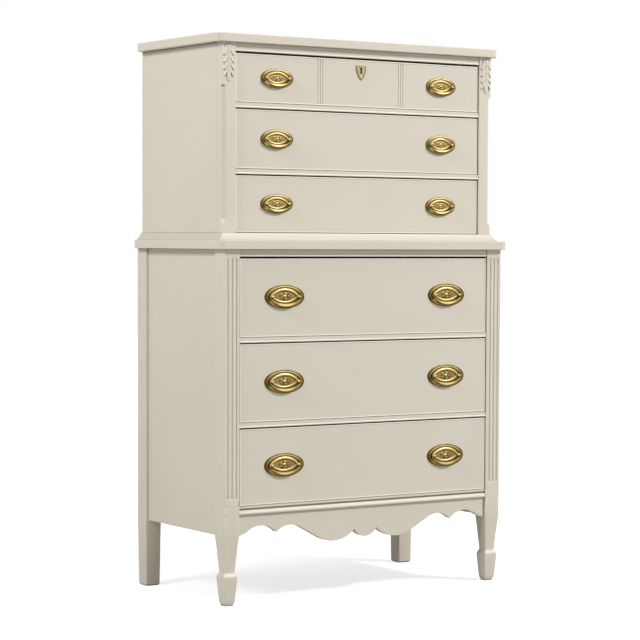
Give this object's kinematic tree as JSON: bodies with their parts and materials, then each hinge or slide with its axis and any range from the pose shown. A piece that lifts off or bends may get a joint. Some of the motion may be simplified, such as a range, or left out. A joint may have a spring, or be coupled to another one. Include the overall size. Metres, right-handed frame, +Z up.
{
  "type": "tall dresser",
  "caption": "Tall painted dresser: a narrower upper chest of drawers on a wider lower chest, square tapered legs, a scalloped apron, fluted posts and oval brass bail pulls.",
  "frame": {"origin": "on the floor, midway across the width and depth of the dresser", "axes": "+Z up, the drawers open towards -Y, +X to the right of someone who faces the drawers"},
  "size_m": [0.872, 0.457, 1.4],
  "materials": {
    "paint": "greige satin paint over wood",
    "drawer_wood": "bare hardwood, smooth planed",
    "panel_wood": "bare plywood panel",
    "brass": "polished brass with dark recesses",
    "lock_steel": "plain steel, dull"
  },
  "bodies": {
    "carcass": {"top_board": "paint", "upper_side_left": "paint", "upper_side_right": "paint", "upper_post_left": "paint", "upper_post_right": "paint", "leaf_carvings": "paint", "upper_rails": "paint", "upper_runners": "drawer_wood", "upper_back": "panel_wood", "waist_board": "paint", "waist_moulding": "paint", "lower_side_left": "paint", "lower_side_right": "paint", "front_leg_left": "paint", "front_leg_right": "paint", "rear_leg_left": "paint", "rear_leg_right": "paint", "lower_rails": "paint", "apron": "paint", "lower_runners": "drawer_wood", "lower_back": "panel_wood"},
    "drawer_1": {"drawer_1_front": "paint", "drawer_1_box": "drawer_wood", "drawer_1_bottom": "panel_wood", "drawer_1_pull_plates": "brass", "keyhole_escutcheon": "brass", "lock_body": "lock_steel"},
    "bail_1_left": {"drawer_1_bail_left": "brass"},
    "bail_1_right": {"drawer_1_bail_right": "brass"},
    "drawer_2": {"drawer_2_front": "paint", "drawer_2_box": "drawer_wood", "drawer_2_bottom": "panel_wood", "drawer_2_pull_plates": "brass"},
    "bail_2_left": {"drawer_2_bail_left": "brass"},
    "bail_2_right": {"drawer_2_bail_right": "brass"},
    "drawer_3": {"drawer_3_front": "paint", "drawer_3_box": "drawer_wood", "drawer_3_bottom": "panel_wood", "drawer_3_pull_plates": "brass"},
    "bail_3_left": {"drawer_3_bail_left": "brass"},
    "bail_3_right": {"drawer_3_bail_right": "brass"},
    "drawer_4": {"drawer_4_front": "paint", "drawer_4_box": "drawer_wood", "drawer_4_bottom": "panel_wood", "drawer_4_pull_plates": "brass"},
    "bail_4_left": {"drawer_4_bail_left": "brass"},
    "bail_4_right": {"drawer_4_bail_right": "brass"},
    "drawer_5": {"drawer_5_front": "paint", "drawer_5_box": "drawer_wood", "drawer_5_bottom": "panel_wood", "drawer_5_pull_plates": "brass"},
    "bail_5_left": {"drawer_5_bail_left": "brass"},
    "bail_5_right": {"drawer_5_bail_right": "brass"},
    "drawer_6": {"drawer_6_front": "paint", "drawer_6_box": "drawer_wood", "drawer_6_bottom": "panel_wood", "drawer_6_pull_plates": "brass"},
    "bail_6_left": {"drawer_6_bail_left": "brass"},
    "bail_6_right": {"drawer_6_bail_right": "brass"},
    "lock_bolt": {"lock_bolt": "lock_steel"}
  },
  "joints": [
    {"name": "drawer_1_slide", "type": "slide", "parent": "carcass", "child": "drawer_1", "axis": [0, -1, 0], "range_m": [0, 0.3]},
    {"name": "bail_1_left_hinge", "type": "hinge", "parent": "drawer_1", "child": "bail_1_left", "pos_m": [-0.249, -0.186, 1.296], "axis": [-1, 0, 0], "range_deg": [0, 170]},
    {"name": "bail_1_right_hinge", "type": "hinge", "parent": "drawer_1", "child": "bail_1_right", "pos_m": [0.249, -0.186, 1.296], "axis": [-1, 0, 0], "range_deg": [0, 170]},
    {"name": "drawer_2_slide", "type": "slide", "parent": "carcass", "child": "drawer_2", "axis": [0, -1, 0], "range_m": [0, 0.3]},
    {"name": "bail_2_left_hinge", "type": "hinge", "parent": "drawer_2", "child": "bail_2_left", "pos_m": [-0.249, -0.186, 1.1465], "axis": [-1, 0, 0], "range_deg": [0, 170]},
    {"name": "bail_2_right_hinge", "type": "hinge", "parent": "drawer_2", "child": "bail_2_right", "pos_m": [0.249, -0.186, 1.1465], "axis": [-1, 0, 0], "range_deg": [0, 170]},
    {"name": "drawer_3_slide", "type": "slide", "parent": "carcass", "child": "drawer_3", "axis": [0, -1, 0], "range_m": [0, 0.3]},
    {"name": "bail_3_left_hinge", "type": "hinge", "parent": "drawer_3", "child": "bail_3_left", "pos_m": [-0.249, -0.186, 0.98725], "axis": [-1, 0, 0], "range_deg": [0, 170]},
    {"name": "bail_3_right_hinge", "type": "hinge", "parent": "drawer_3", "child": "bail_3_right", "pos_m": [0.249, -0.186, 0.98725], "axis": [-1, 0, 0], "range_deg": [0, 170]},
    {"name": "drawer_4_slide", "type": "slide", "parent": "carcass", "child": "drawer_4", "axis": [0, -1, 0], "range_m": [0, 0.32]},
    {"name": "bail_4_left_hinge", "type": "hinge", "parent": "drawer_4", "child": "bail_4_left", "pos_m": [-0.246, -0.2195, 0.758], "axis": [-1, 0, 0], "range_deg": [0, 170]},
    {"name": "bail_4_right_hinge", "type": "hinge", "parent": "drawer_4", "child": "bail_4_right", "pos_m": [0.246, -0.2195, 0.758], "axis": [-1, 0, 0], "range_deg": [0, 170]},
    {"name": "drawer_5_slide", "type": "slide", "parent": "carcass", "child": "drawer_5", "axis": [0, -1, 0], "range_m": [0, 0.32]},
    {"name": "bail_5_left_hinge", "type": "hinge", "parent": "drawer_5", "child": "bail_5_left", "pos_m": [-0.246, -0.2195, 0.548], "axis": [-1, 0, 0], "range_deg": [0, 170]},
    {"name": "bail_5_right_hinge", "type": "hinge", "parent": "drawer_5", "child": "bail_5_right", "pos_m": [0.246, -0.2195, 0.548], "axis": [-1, 0, 0], "range_deg": [0, 170]},
    {"name": "drawer_6_slide", "type": "slide", "parent": "carcass", "child": "drawer_6", "axis": [0, -1, 0], "range_m": [0, 0.32]},
    {"name": "bail_6_left_hinge", "type": "hinge", "parent": "drawer_6", "child": "bail_6_left", "pos_m": [-0.246, -0.2195, 0.341], "axis": [-1, 0, 0], "range_deg": [0, 170]},
    {"name": "bail_6_right_hinge", "type": "hinge", "parent": "drawer_6", "child": "bail_6_right", "pos_m": [0.246, -0.2195, 0.341], "axis": [-1, 0, 0], "range_deg": [0, 170]},
    {"name": "lock_bolt_slide", "type": "slide", "parent": "drawer_1", "child": "lock_bolt", "axis": [0, 0, 1], "range_m": [0, 0.008]}
  ]
}
